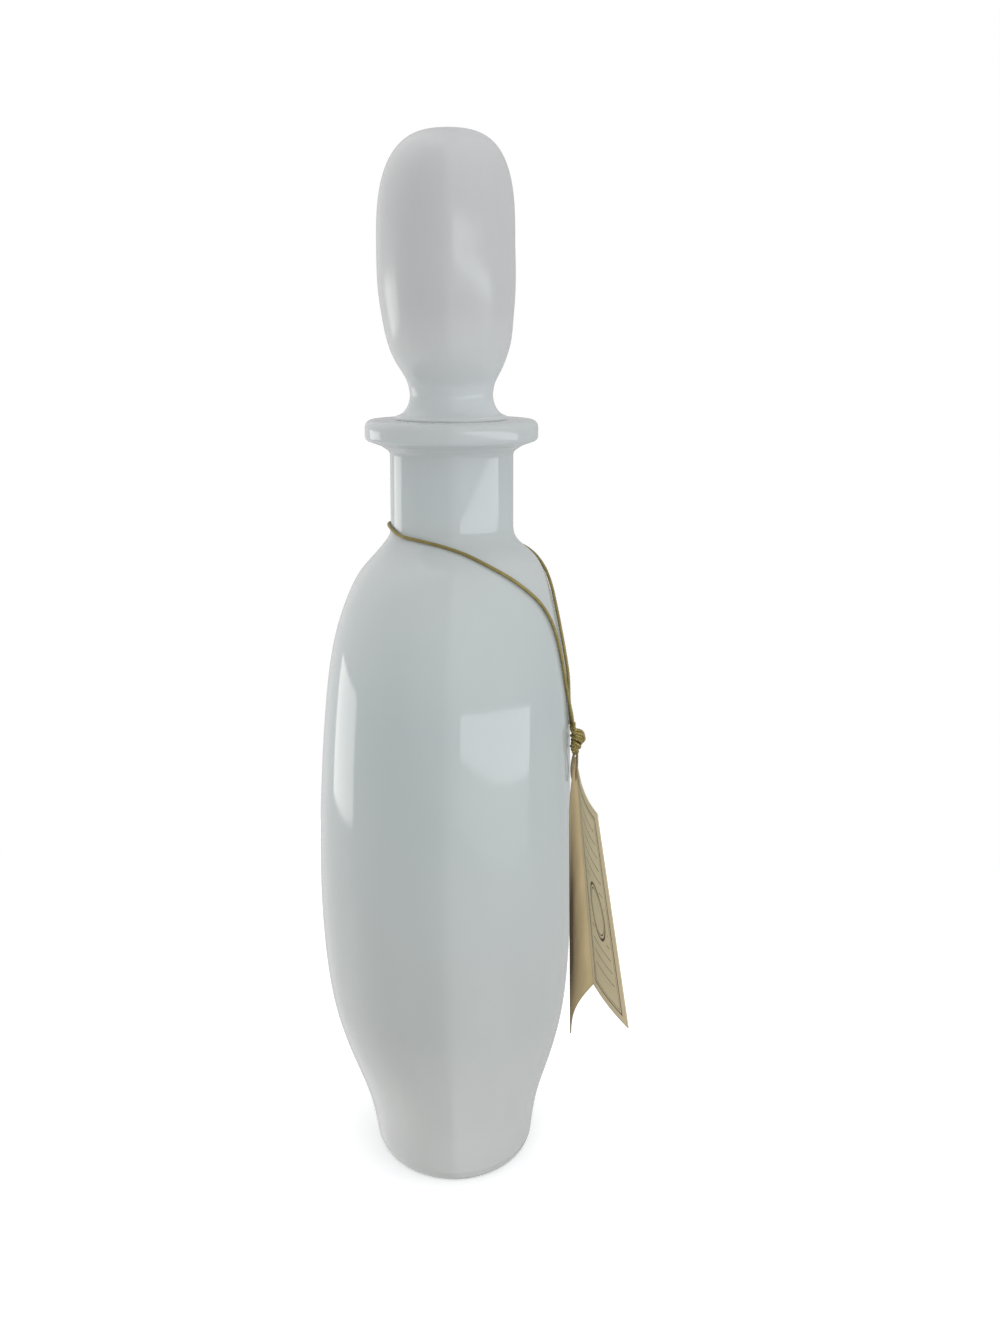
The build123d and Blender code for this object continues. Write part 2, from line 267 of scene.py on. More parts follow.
def ply_tube(name, path, radius, pitch, outward, columns, material, turn=0.0):
    """A tube along a path whose radius is the full one times 1 - depth + depth * |cos(plies * angle / 2)|,
    where the angle turns once in every pitch of length. Its ends are closed by a point each."""
    ahead = np.gradient(path, axis=0)
    ahead /= np.linalg.norm(ahead, axis=1)[:, None]
    outward = outward - (outward * ahead).sum(1)[:, None] * ahead
    outward /= np.linalg.norm(outward, axis=1)[:, None]
    sideways = np.cross(ahead, outward)
    along = running_length(path)
    angle = np.linspace(0, 2 * np.pi, columns, endpoint=False)
    phase = angle[None, :] - 2 * np.pi * along[:, None] / pitch + turn
    size = radius * (1 - PLY_DEPTH + PLY_DEPTH * np.abs(np.cos(PLIES * phase / 2)))
    rings = (path[:, None, :]
             + size[..., None] * (np.cos(angle)[None, :, None] * outward[:, None, :]
                                  + np.sin(angle)[None, :, None] * sideways[:, None, :]))
    points = np.vstack([rings.reshape(-1, 3), path[:1], path[-1:]])
    first_ring = np.arange(columns)
    last_ring = first_ring + (len(path) - 1) * columns
    faces = [face[::-1] for face in grid_faces(len(path), columns, wrap_columns=True)]
    faces += fan_faces(len(points) - 2, first_ring)
    faces += fan_faces(len(points) - 1, last_ring, reverse=True)
    uv = np.stack([np.broadcast_to(along[:, None] / pitch, phase.shape),
                   PLIES * phase / (2 * np.pi)], axis=-1).reshape(-1, 2)
    uv = np.vstack([uv, uv[:1], uv[-1:]])
    return add_mesh(name, points * MM, faces, material, uv)


# %% [markdown]
# Materials are built from nodes. Each one starts from the same shader with a few fixed values on its
# sockets, and the detail, such as clouds in the glass or fibres in the card, goes into its colour,
# roughness and bump. Patterns read Object coordinates in metres, so a Scale of 100 means about 10 mm.

# %% Material helpers
def new_material(name, values):
    """A node material and its parts, with fixed values set on the shader's own sockets."""
    material = bpy.data.materials.new(name)
    material.use_nodes = True
    shader = material.node_tree.nodes["Principled BSDF"]
    for socket, value in values.items():
        shader.inputs[socket].default_value = value
    return material, material.node_tree, shader


def add_node(tree, kind, settings=(), inputs=()):
    """One node with its settings and, for each named input, a fixed value or a socket to link from."""
    node = tree.nodes.new(kind)
    for name, value in dict(settings).items():
        setattr(node, name, value)
    for name, value in dict(inputs).items():
        if isinstance(value, bpy.types.NodeSocket):
            tree.links.new(value, node.inputs[name])
        else:
            node.inputs[name].default_value = value
    return node


def combine(tree, operation, *values):
    """The result of one maths node on one, two or three values."""
    return add_node(tree, "ShaderNodeMath", {"operation": operation}, dict(enumerate(values))).outputs[0]


def object_place(tree):
    """Coordinates of a place on the piece, in metres."""
    return add_node(tree, "ShaderNodeTexCoord").outputs["Object"]


def uv_place(tree):
    """The piece's own U and V, one socket each."""
    uv = add_node(tree, "ShaderNodeUVMap").outputs[0]
    return add_node(tree, "ShaderNodeSeparateXYZ", {}, {0: uv}).outputs


def clouds(tree, where, scale, detail=3.0, roughness=0.5):
    """Soft noise from 0 to 1 at the given coordinates."""
    return add_node(tree, "ShaderNodeTexNoise", {}, {
        "Vector": where, "Scale": scale, "Detail": detail, "Roughness": roughness}).outputs["Fac"]


def blend_colours(tree, amount, first, second):
    """The first colour where the amount is 0 and the second where it is 1."""
    return add_node(tree, "ShaderNodeMix", {"data_type": "RGBA"}, {0: amount, 6: first, 7: second}).outputs[2]


def levels_of(tree, value, given, wanted=(0.0, 1.0)):
    """A value moved from a given range to a wanted one and kept inside it."""
    return add_node(tree, "ShaderNodeMapRange", {}, {
        "Value": value, "From Min": given[0], "From Max": given[1],
        "To Min": wanted[0], "To Max": wanted[1]}).outputs[0]


def colour_ramp(tree, amount, stops):
    """A colour for an amount from 0 to 1. Each stop is a place and a colour, and colours blend between."""
    ramp = add_node(tree, "ShaderNodeValToRGB", {}, {"Fac": amount})
    for place, _ in stops[1:-1]:
        ramp.color_ramp.elements.new(place)
    for element, (place, colour) in zip(ramp.color_ramp.elements, stops):
        element.position = place
        element.color = (*colour, 1)
    return ramp.outputs[0]


def add_bump(tree, shader, height, strength, distance):
    """Bumps the shader's surface by a height map, whose full height is the distance in metres."""
    bump = add_node(tree, "ShaderNodeBump", {}, {
        "Height": height, "Strength": strength, "Distance": distance})
    tree.links.new(bump.outputs[0], shader.inputs["Normal"])


# %% [markdown]
# Opal glass is white all through: fine particles in it scatter the light, so it is neither see-through
# nor chalky. A polished surface over a little scattering gives that depth. Real pieces have faint
# clouds where the melt was folded, drawn out along the height, and a surface that is not quite flat.
# In the photograph the belly looks a little green and the foot and the neck look whiter, so a ramp over
# the height carries that change of tone. The ramp is partly the glass's own tint and partly painted
# light, which makes the foot and the neck lighter.

# %% Opal glass
RAMP_HEIGHT = 0.30
CLOUD_TONE = (0.60, 0.62, 0.61, 1)
STOPPER_TONE, WAIST_TONE = (0.495, 0.495, 0.495), (0.600, 0.630, 0.630)
# Partly the glass's own tint and partly painted light, lighter at the foot and the neck.
DECANTER_TINT_AND_LIGHT = [
    (0.000, (0.605, 0.605, 0.590)), (0.073, (0.525, 0.530, 0.515)), (0.161, (0.448, 0.462, 0.444)),
    (0.308, (0.444, 0.478, 0.466)), (0.455, (0.446, 0.490, 0.486)), (0.601, (0.505, 0.532, 0.525)),
    (0.660, (0.482, 0.520, 0.520)), (0.733, (0.482, 0.500, 0.500))]
# The stopper's waist and collar take a lighter tone than its head.
STOPPER_TONES = [
    (0.000, WAIST_TONE), (0.760, WAIST_TONE), (0.795, (0.545, 0.550, 0.545)), (0.835, STOPPER_TONE),
    (1.000, STOPPER_TONE)]


def opal_glass(name, tones, polish):
    """Polished milk glass whose tone changes with height, with clouds drawn out upwards and a faint
    waviness. Each tone is a share of the ramp's height and a colour, and the roughness wanders between
    the two values of its polish."""
    material, tree, shader = new_material(name, {
        "Subsurface Weight": 0.25, "Subsurface Radius": (0.004, 0.0045, 0.0045), "Subsurface Scale": 1.0,
        "IOR": 1.5, "Coat Weight": 0.0})
    where = object_place(tree)
    drawn = add_node(tree, "ShaderNodeMapping", {}, {"Vector": where, "Scale": (1.0, 1.0, 0.35)}).outputs[0]
    height = add_node(tree, "ShaderNodeSeparateXYZ", {}, {0: where}).outputs[2]
    tone = colour_ramp(tree, levels_of(tree, height, (0.0, RAMP_HEIGHT)), tones)
    cloud = levels_of(tree, clouds(tree, drawn, 26.0, detail=2.0), (0.35, 0.65), (0.0, 0.2))
    roughness = levels_of(tree, clouds(tree, where, 60.0, detail=4.0), (0.3, 0.7), polish)
    tree.links.new(blend_colours(tree, cloud, tone, CLOUD_TONE), shader.inputs["Base Color"])
    tree.links.new(roughness, shader.inputs["Roughness"])
    add_bump(tree, shader, clouds(tree, where, 30.0, detail=1.0), strength=0.12, distance=0.0012)
    return material


glass_finish = opal_glass("opal_glass", DECANTER_TINT_AND_LIGHT, (0.05, 0.11))
stopper_finish = opal_glass("opal_glass_stopper", STOPPER_TONES, (0.17, 0.25))

# %% [markdown]
# The seal is natural polyethylene: waxy, slightly see-through and never glossy. It shows only when the
# stopper is lifted.

# %% Seal plastic
SEAL_TONES = (0.66, 0.65, 0.60, 1), (0.74, 0.73, 0.68, 1)
seal_finish, tree, shader = new_material("seal_plastic", {
    "Subsurface Weight": 0.4, "Subsurface Radius": (0.002, 0.002, 0.0018), "Subsurface Scale": 1.0,
    "IOR": 1.51})
where = object_place(tree)
tone = blend_colours(tree, levels_of(tree, clouds(tree, where, 180.0), (0.3, 0.7)), *SEAL_TONES)
roughness = levels_of(tree, clouds(tree, where, 900.0, detail=4.0), (0.3, 0.7), (0.34, 0.5))
tree.links.new(tone, shader.inputs["Base Color"])
tree.links.new(roughness, shader.inputs["Roughness"])

# %% [markdown]
# Gold thread is a thin metal foil wound round a yarn core. From near by each ply shows fine slanting
# turns of foil with the darker core between them. The cord's own UV map runs along it in U and round it
# in V, so stripes across both follow the twist. The thread that carries the tag is duller.

# %% Gold thread
WORN_SHARE = 0.72


def gold_thread(name, foil, core, metallic, turns):
    """Foil wound on a core: stripes across U and V, foil on top of each and core between them."""
    material, tree, shader = new_material(name, {"Metallic": metallic, "Specular IOR Level": 0.5})
    place = uv_place(tree)
    slant = combine(tree, "MULTIPLY_ADD", place[0], turns, place[1])
    foil_part = levels_of(tree, combine(tree, "PINGPONG", slant, 0.5), (0.05, 0.3))
    worn = levels_of(tree, clouds(tree, object_place(tree), 700.0), (0.35, 0.75))
    worn_foil = tuple(WORN_SHARE * part for part in foil)
    bright = blend_colours(tree, worn, (*foil, 1), (*worn_foil, 1))
    tree.links.new(blend_colours(tree, foil_part, (*core, 1), bright), shader.inputs["Base Color"])
    tree.links.new(levels_of(tree, worn, (0.0, 1.0), (0.34, 0.55)), shader.inputs["Roughness"])
    add_bump(tree, shader, foil_part, strength=0.5, distance=0.00008)
    return material


cord_finish = gold_thread("gold_cord", (0.47, 0.38, 0.13), (0.12, 0.09, 0.03), metallic=0.55, turns=9.0)
thread_finish = gold_thread("tag_thread", (0.36, 0.28, 0.13), (0.14, 0.10, 0.05), metallic=0.25, turns=7.0)

# %% [markdown]
# The tag is uncoated tan card with a printed border. Uncoated card is matt, with short fibres in every
# direction and edges that have picked up some grey from handling. The plain side is painted darker than
# the printed one, as painted shade inside the fold, and painted shade darkens it further towards its
# free edge, beside the glass. The print is a plain double rule, a double oval and a few ruled lines for
# writing on, in a brown ink that has sunk in unevenly.
# Each line of the print is a place and half a width, in millimetres, or in shares of the oval's size.

# %% Card and its print
TAG_WIDTH, TAG_HEIGHT = 27.0, 73.0
PRINTED_TONES = (0.72, 0.60, 0.39, 1), (0.77, 0.64, 0.42, 1)
# The plain side's tones are the same card painted darker, as painted shade inside the fold.
PLAIN_SHADED_TONES = (0.41, 0.32, 0.175, 1), (0.46, 0.36, 0.200, 1)
FLECK_TONE, WORN_EDGE_TONE = (0.36, 0.27, 0.16, 1), (0.33, 0.26, 0.17, 1)
# The first colour is painted shade at the plain side's free edge, beside the glass; the second is the ink.
PAINTED_SHADE_TONE, INK_TONE = (0.050, 0.034, 0.019, 1), (0.085, 0.055, 0.035, 1)
# Distance from the top, in millimetres, at which the painted shade is deepest.
PAINTED_SHADE_MIDDLE = 42.0
RULES = (3.0, 0.28), (4.1, 0.12)
OVAL_MIDDLE, OVAL_HALF_WIDTH, OVAL_HALF_HEIGHT = 40.0, 6.0, 9.0
OVALS = (1.0, 0.055), (0.84, 0.025)
OVAL_CLEARANCE = 1.25
WRITING_GAP, WRITING_HALF_WIDTH = 2.2, 0.15
SIDE_MARGIN, END_MARGIN = 6.0, 8.0


def printed_lines(tree, value, lines):
    """1 on either of two lines, each within half a width of its place, and 0 away from both."""
    marks = [combine(tree, "COMPARE", value, place, half_width) for place, half_width in lines]
    return combine(tree, "MAXIMUM", *marks)


def product(tree, first, *others):
    """All values multiplied together."""
    for other in others:
        first = combine(tree, "MULTIPLY", first, other)
    return first


def ink_part(tree, where, place, from_side, from_end):
    """Where the card is printed: rules round the edge, ovals, and lines that stop short of both."""
    across = combine(tree, "SUBTRACT", place[0], TAG_WIDTH / 2)
    down = combine(tree, "SUBTRACT", place[1], OVAL_MIDDLE)
    oval_place = add_node(tree, "ShaderNodeCombineXYZ", {}, {
        0: combine(tree, "DIVIDE", across, OVAL_HALF_WIDTH),
        1: combine(tree, "DIVIDE", down, OVAL_HALF_HEIGHT)}).outputs[0]
    oval = add_node(tree, "ShaderNodeVectorMath", {"operation": "LENGTH"}, {0: oval_place}).outputs["Value"]
    row = combine(tree, "PINGPONG", place[1], WRITING_GAP)
    writing = product(tree, combine(tree, "COMPARE", row, 0.0, WRITING_HALF_WIDTH),
                      combine(tree, "GREATER_THAN", from_side, SIDE_MARGIN),
                      combine(tree, "GREATER_THAN", from_end, END_MARGIN),
                      combine(tree, "GREATER_THAN", oval, OVAL_CLEARANCE))
    rule = printed_lines(tree, combine(tree, "MINIMUM", from_side, from_end), RULES)
    ink = combine(tree, "MAXIMUM", rule, combine(tree, "MAXIMUM", printed_lines(tree, oval, OVALS), writing))
    sunk = levels_of(tree, clouds(tree, where, 500.0, detail=4.0, roughness=0.7), (0.3, 0.62), (0.70, 1.0))
    return product(tree, ink, sunk)


def painted_shade_part(tree, place, mottle):
    """Where shade is painted on the plain side: most at its free edge and a little below the middle."""
    from_free_edge = combine(tree, "SUBTRACT", TAG_WIDTH, place[0])
    uneven = combine(tree, "ADD", from_free_edge, product(tree, mottle, 1.5))
    from_middle = combine(tree, "ABSOLUTE", combine(tree, "SUBTRACT", place[1], PAINTED_SHADE_MIDDLE))
    return product(tree, levels_of(tree, uneven, (10.0, 25.0), (0.97, 0.0)),
                   levels_of(tree, from_middle, (12.0, 44.0), (1.0, 0.15)))


def tan_card(name, tones, printed):
    """Fibrous card. UV is in millimetres from the fold (U) and from the top (V)."""
    material, tree, shader = new_material(name, {
        "Roughness": 0.95, "IOR": 1.45, "Specular IOR Level": 0.04})
    where, place = object_place(tree), uv_place(tree)
    fibre = clouds(tree, where, 900.0, detail=6.0, roughness=0.75)
    mottle = levels_of(tree, clouds(tree, where, 90.0), (0.3, 0.7))
    flecks = levels_of(tree, fibre, (0.55, 0.75), (0.0, 0.35))
    tone = blend_colours(tree, flecks, blend_colours(tree, mottle, *tones), FLECK_TONE)
    from_side = combine(tree, "MINIMUM", place[0], combine(tree, "SUBTRACT", TAG_WIDTH, place[0]))
    from_end = combine(tree, "MINIMUM", place[1], combine(tree, "SUBTRACT", TAG_HEIGHT, place[1]))
    from_edge = combine(tree, "ADD", combine(tree, "MINIMUM", from_side, from_end), product(tree, fibre, 0.8))
    rubbed = levels_of(tree, from_edge, (0.3, 1.2), (0.35, 0.0))
    tone = blend_colours(tree, rubbed, tone, WORN_EDGE_TONE)
    if printed:
        tone = blend_colours(tree, ink_part(tree, where, place, from_side, from_end), tone, INK_TONE)
    else:
        # Painted shade on the plain side, darkest at its free edge and a little below the middle.
        tone = blend_colours(tree, painted_shade_part(tree, place, mottle), tone, PAINTED_SHADE_TONE)
    tree.links.new(tone, shader.inputs["Base Color"])
    add_bump(tree, shader, fibre, strength=0.35, distance=0.00012)
    return material


# The plain leaf's card carries painted shade: darker tones and a dark band at its free edge.
plain_card = tan_card("tag_card", PLAIN_SHADED_TONES, printed=False)
printed_card = tan_card("tag_card_printed", PRINTED_TONES, printed=True)

# %% [markdown]
# The cord is now laid along its route, which ends at the knot.

# %% Neck cord
neck_cord = ply_tube("neck_cord_twisted", cord_path, CORD_RADIUS, CORD_PITCH, glass_normals(cord_path),
                     CORD_COLUMNS, cord_finish)
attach(neck_cord, "decanter")
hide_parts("neck_cord")

# %% [markdown]
# The knot is both strands tied round themselves and pulled into a small hard lump, with its fullest turn
# standing out in front. Its middle route is given as a list of points. The two strands lie side by side
# on the lump, so the step from the middle route to either is square to the route and to the way out of
# the lump.
# That way starts from a point just off the lump's middle, because it has no direction in the middle.

# %% Knot
KNOT = np.array([38.6, -9.7, 126.0])
HEART = np.array([-0.1, -0.5, 0.0])
HEART_SQUASH = np.array([1.0, 1.0, 0.4])
OFF_AXIS = np.array([0.02, 0.01, 0.0])
KNOT_RADIUS, STRAND_STEP = 0.55, 0.46
knot_middle = np.array([
    (-1.3, -0.6, 4.8), (-1.5, -2.0, 3.6), (-0.9, -2.9, 2.9), (0.8, -2.0, 2.5), (1.9, -0.6, 1.4),
    (1.9, 0.3, -0.3), (1.0, 1.0, -1.0), (0.3, 1.2, 0.5), (-1.2, 0.5, 1.1), (-1.5, -1.4, 1.9),
    (-0.9, -2.9, 1.3), (0.7, -2.3, 0.7), (1.4, -1.0, -0.5), (0.6, 0.3, -1.5), (-0.7, 0.6, -1.1),
    (-1.5, -1.0, -0.3), (-1.3, -2.6, -0.7), (-0.3, -2.6, -1.4), (0.5, -1.4, -2.3), (-0.1, -0.1, -3.0),
    (-1.0, -0.3, -2.4), (-1.6, -1.6, -2.1), (-1.1, -2.7, -2.6), (-0.1, -1.8, -3.4), (-0.8, -1.0, -4.0)])
knot_aside = np.cross(np.gradient(knot_middle, axis=0), (knot_middle - HEART) * HEART_SQUASH)
knot_aside *= STRAND_STEP / np.linalg.norm(knot_aside, axis=1)[:, None]
knot_strands = []
for label, part in (("near", 1), ("far", -1)):
    strand_path = spline_path(f"knot_line_{label}", KNOT + knot_middle + part * knot_aside, resolution=22)
    knot_strands.append(ply_tube(f"knot_strand_{label}", strand_path, KNOT_RADIUS, CORD_PITCH,
                                 strand_path - KNOT + OFF_AXIS, CORD_COLUMNS, cord_finish, turn=part))
for strand in knot_strands:
    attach(strand, "decanter")
    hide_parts("cord_knot")
print("knot strand", round(running_length(strand_path)[-1], 1), "mm")

# %% [markdown]
# The thread leaves the knot, passes through the hole in the back leaf and comes up again on its other
# side. It is thinner than the cord and its plies turn at a finer pitch.

# %% Thread
THREAD_RADIUS, THREAD_PITCH, THREAD_COLUMNS = 0.4, 1.9, 18
THREAD_OUTWARD = [0.0, -1.0, 0.0]
thread_points = np.array([
    (38.6, -10.3, 122.0), (38.65, -10.0, 118.6), (38.6, -9.75, 115.6), (38.35, -9.6, 113.5),
    (37.5, -9.6, 113.3), (37.1, -9.7, 115.4), (37.05, -9.8, 118.6), (37.85, -9.9, 121.8)])
thread_path = spline_path("thread_line", thread_points, resolution=40)
tag_thread = ply_tube("tag_thread_twisted", thread_path, THREAD_RADIUS, THREAD_PITCH,
                      np.broadcast_to(THREAD_OUTWARD, thread_path.shape), THREAD_COLUMNS, thread_finish)
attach(tag_thread, "tag")
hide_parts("tag_thread")
print("thread length", round(running_length(thread_path)[-1], 1), "mm")

# %% [markdown]
# The tag is one card folded once. The crease hangs from the thread, leaning out and back, and each leaf
# spreads more at the bottom than at the top, so a leaf is a twisted sheet: a straight line across it
# turns steadily on the way down. Real card is not flat either, so each leaf bows a little between the
# fold and its free edge. Solidify then gives the card its thickness. In the photograph the card hardly
# darkens the glass beside it, so the leaves are switched off for mirrored, scattered and shadow rays.

# %% Tag leaves
LEAF_ROWS, LEAF_COLUMNS = 81, 41
CARD, FOLD_OVERLAP = 0.35, 0.1
TOP_RISE = 5.8
FOLD_TOP = np.array([38.9, -6.0, 114.2])
LEAN_OUT, LEAN_BACK = np.sin(np.radians([5.3, 11.3]))
fold_up = np.array([-LEAN_OUT, -LEAN_BACK, math.sqrt(1 - LEAN_OUT**2 - LEAN_BACK**2)])
fold_across = np.cross(fold_up, [1.0, 0.0, 0.0])
fold_across /= np.linalg.norm(fold_across)
if fold_across[1] > 0:
    fold_across = -fold_across
fold_side = np.cross(fold_up, fold_across)


def leaf(name, side, spreads, bows, pull, material):
    """A leaf from the fold outwards: across * u, turned about the fold by an angle that runs between two
    spreads down the tag, plus a bow of sin(pi * u) between two heights. Its top edge rises towards the
    fold by (1 - u) to the power of pull, as if the thread drew it up."""
    u = np.linspace(0, 1, LEAF_COLUMNS)[None, :]
    v = np.linspace(0, 1, LEAF_ROWS)[:, None]
    spread = side * np.radians(spreads[0] + (spreads[1] - spreads[0]) * v)
    width = TAG_WIDTH * u - FOLD_OVERLAP * (1 - u)
    lift = side * (bows[0] + (bows[1] - bows[0]) * v) * np.sin(np.pi * u)
    across = width * np.cos(spread) - lift * np.sin(spread)
    aside = width * np.sin(spread) + lift * np.cos(spread)
    down = v * TAG_HEIGHT - (1 - v) * TOP_RISE * (1 - u)**pull
    points = (FOLD_TOP - down[..., None] * fold_up
              + across[..., None] * fold_across + aside[..., None] * fold_side)
    faces = grid_faces(LEAF_ROWS, LEAF_COLUMNS)
    if side < 0:
        faces = [face[::-1] for face in faces]
    uv = np.stack([width + 0 * v, TAG_HEIGHT * v + 0 * u], axis=-1).reshape(-1, 2)
    piece = add_mesh(name, points.reshape(-1, 3) * MM, faces, material, uv)
    solid = piece.modifiers.new("thickness", "SOLIDIFY")
    solid.thickness = CARD * MM
    solid.offset = 1.0
    return piece


back_leaf = leaf("tag_back_card", -1, spreads=(7.7, 18.5), bows=(0.1, 2.1), pull=0.6, material=plain_card)
front_leaf = leaf("tag_front_card", 1, spreads=(8.3, 18.2), bows=(-1.0, -0.6), pull=2.2,
                  material=printed_card)
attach(back_leaf, "tag")
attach(front_leaf, "tag_flap")
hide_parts("tag_back_leaf")
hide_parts("tag_front_leaf")
for card in (back_leaf, front_leaf):
    card.visible_glossy = False
    card.visible_diffuse = False
    card.visible_shadow = False

# %% [markdown]
# The decanter itself is one closed skin: from the middle of the foot's recess out over the standing
# rim, up the belly and neck, over the lip, and down inside to the floor. A row of the grid is an ellipse
# with its own height, half sizes and middle. Corners are short arcs, so that the smooth shading does
# not smear light across them. Each list of roundings has one radius for each inner corner.

# %% Decanter
GLASS_WALL = 4.4
NECK_RADIUS = NECK[0]
BORE = NECK_RADIUS - GLASS_WALL
BORE_EDGE = 0.8
NECK_LOW, NECK_HIGH = SHOULDER_TOP + 0.1, 209.6
LIP_LOW, LIP_TOP, LIP_RADIUS = 213.0, 218.8, 25.1
FLARE_RADIUS, FLARE_HEIGHT = 20.6, 211.4
RIM_WIDTH, RECESS_WIDTH, RECESS_HEIGHT = 7.0, 14.0, 2.4
FLOOR, FLOOR_INSET, WALL_LOW = 8.0, 12.0, 14.1
BODY_LOW, BODY_HIGH, INNER_HIGH = 2.2, SHOULDER_TOP - 0.02, SHOULDER_TOP - 1.0
UNDER_ROUNDINGS = [0.6, 0.5, 2.0]
LIP_ROUNDINGS = [2.0, 1.0, 1.6, 2.2, 0.3, 0.3]
FLOOR_ROUNDINGS = [5.9]
GLASS_COLUMNS = 160


def rounded(corners, radii, steps=7):
    """A line through corners with each inner one rounded: an arc that touches both sides, found from the
    half angle between them. Corners and results are pairs of a radius, or an inset, and a height."""
    corners = np.asarray(corners, float)
    pieces = [corners[:1]]
    share = np.linspace(0, 1, steps)[:, None]
    for before, here, after, radius in zip(corners, corners[1:], corners[2:], radii):
        back = (before - here) / np.linalg.norm(before - here)
        on = (after - here) / np.linalg.norm(after - here)
        half = math.acos(np.clip(back @ on, -1, 1)) / 2
        reach = radius / math.tan(half)
        middle = here + (back + on) / np.linalg.norm(back + on) * radius / math.sin(half)
        start = here + back * reach - middle
        end = here + on * reach - middle
        opening = math.pi - 2 * half
        arc = (np.sin((1 - share) * opening) * start + np.sin(share * opening) * end) / math.sin(opening)
        pieces.append(middle + arc)
    pieces.append(corners[-1:])
    return np.vstack(pieces)


def round_rows(profile, middle):
    """Grid rows of a round form: height, two equal half sizes, and the middle along X."""
    profile = np.asarray(profile, float)
    return np.stack([profile[:, 1], profile[:, 0], profile[:, 0], np.full(len(profile), middle)], axis=1)


def skin(name, rows, columns, material, ring=False):
    """A closed skin of elliptical rows: x = middle + half thickness * cos, y = half depth * sin. Each end
    is closed by one point or, in a ring, the last row is joined to the first."""
    angle = np.linspace(0, 2 * np.pi, columns, endpoint=False)
    height, half_x, half_y, middle = (rows[:, [column]] for column in range(4))
    points = np.stack([middle + half_x * np.cos(angle), half_y * np.sin(angle),
                       height + 0 * angle], axis=-1).reshape(-1, 3)
    faces = grid_faces(len(rows), columns, wrap_rows=ring, wrap_columns=True)
    if not ring:
        first_row = np.arange(columns)
        last_row = first_row + (len(rows) - 1) * columns
        points = np.vstack([points, [[row[3], 0, row[0]] for row in rows[[0, -1]]]])
        faces += fan_faces(len(points) - 2, first_row, reverse=True)
        faces += fan_faces(len(points) - 1, last_row)
    return add_mesh(name, points * MM, faces, material)


def inset_rows(insets, heights, sizes, middle):
    """Rows drawn in from an ellipse of the given half sizes."""
    insets = np.asarray(insets, float)
    return np.stack([np.asarray(heights, float), sizes[0] - insets, sizes[1] - insets,
                     np.full(len(insets), middle)], axis=1)


def shrunk_rows(row, shares):
    """Copies of one row at smaller sizes, to fill a flat face up to its middle."""
    shares = np.asarray(shares, float)[:, None]
    height, half_x, half_y, middle = row
    return np.hstack([np.full_like(shares, height), shares * half_x, shares * half_y,
                      np.full_like(shares, middle)])


def glass_rows(low, high, every, wall=0.0):
    """Rows of the outline between two heights, drawn in by a wall. One level in every so many is taken,
    from the top down when that number is negative."""
    heights = outline[(outline[:, 0] > low) & (outline[:, 0] < high)][::every, 0]
    half_x, half_y, middle = glass_sizes(heights)
    return np.stack([heights, half_x - wall, half_y - wall, middle], axis=1)


under = rounded([(RECESS_WIDTH, RECESS_HEIGHT), (RIM_WIDTH, RECESS_HEIGHT), (RIM_WIDTH, 0), (0, 0),
                 (0, FLOOR)], UNDER_ROUNDINGS)
under_rows = inset_rows(under[:-1, 0], under[:-1, 1], FOOT, NECK_X)
body_rows = glass_rows(BODY_LOW, BODY_HIGH, every=6)
lip = rounded([
    (NECK_RADIUS, NECK_LOW), (NECK_RADIUS, NECK_HIGH), (FLARE_RADIUS, FLARE_HEIGHT), (LIP_RADIUS, LIP_LOW),
    (LIP_RADIUS, LIP_TOP), (BORE + BORE_EDGE, LIP_TOP), (BORE, LIP_TOP - BORE_EDGE),
    (BORE, SHOULDER_TOP - 0.5)], LIP_ROUNDINGS)
inner_rows = glass_rows(WALL_LOW + 0.1, INNER_HIGH, every=-10, wall=GLASS_WALL)
floor_line = rounded([(0, WALL_LOW), (0, FLOOR), (FLOOR_INSET, FLOOR)], FLOOR_ROUNDINGS)
floor_rows = inset_rows(floor_line[:, 0], floor_line[:, 1], inner_rows[-1, 1:3], inner_rows[-1, 3])
decanter_rows = np.vstack([
    shrunk_rows(under_rows[0], [0.03, 0.25, 0.5, 0.75]), under_rows, body_rows, round_rows(lip, NECK_X),
    inner_rows, floor_rows, shrunk_rows(floor_rows[-1], [0.66, 0.33, 0.03])])
decanter = skin("decanter_glass", decanter_rows, GLASS_COLUMNS, glass_finish)
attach(decanter, "decanter")
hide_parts("decanter")
print("decanter rows:", len(decanter_rows))

# %% [markdown]
# The stopper is solid glass: a flattened head on a round waist, a collar that rests on the lip, and a
# spigot that holds the seal above a small bead. Its crown is a superellipse, flatter on top than a
# ball, with points spread evenly by angle so that no facet shows where it turns over.

# %% Stopper
COLLAR_RADIUS, COLLAR_HEIGHT = 16.4, 1.0
WAIST_RISE, HEAD_HEIGHT = 7.2, 73.8
WAIST_HEIGHT = LIP_TOP + WAIST_RISE
STOPPER_TOP = WAIST_HEIGHT + HEAD_HEIGHT
CROWN, CROWN_POWER, CROWN_LEAN = 32.0, 2.9, 0.6
CROWN_LOW = STOPPER_TOP - CROWN
HEAD = np.array([19.75, 27.4, 1.4])
WAIST = np.array([12.0, 12.0, 0.0])
SPIGOT_RADIUS, SPIGOT_LOW = 9.4, 189.4
BEAD_RADIUS, BEAD_TOP = 10.4, 191.8
STOPPER_ROUNDINGS = [0.8, 0.5, 0.2, 0.3, 0.06, 0.4]
STOPPER_COLUMNS = 128
HEAD_ROWS, CROWN_ROWS, FLARE_ROWS = 60, 40, 14
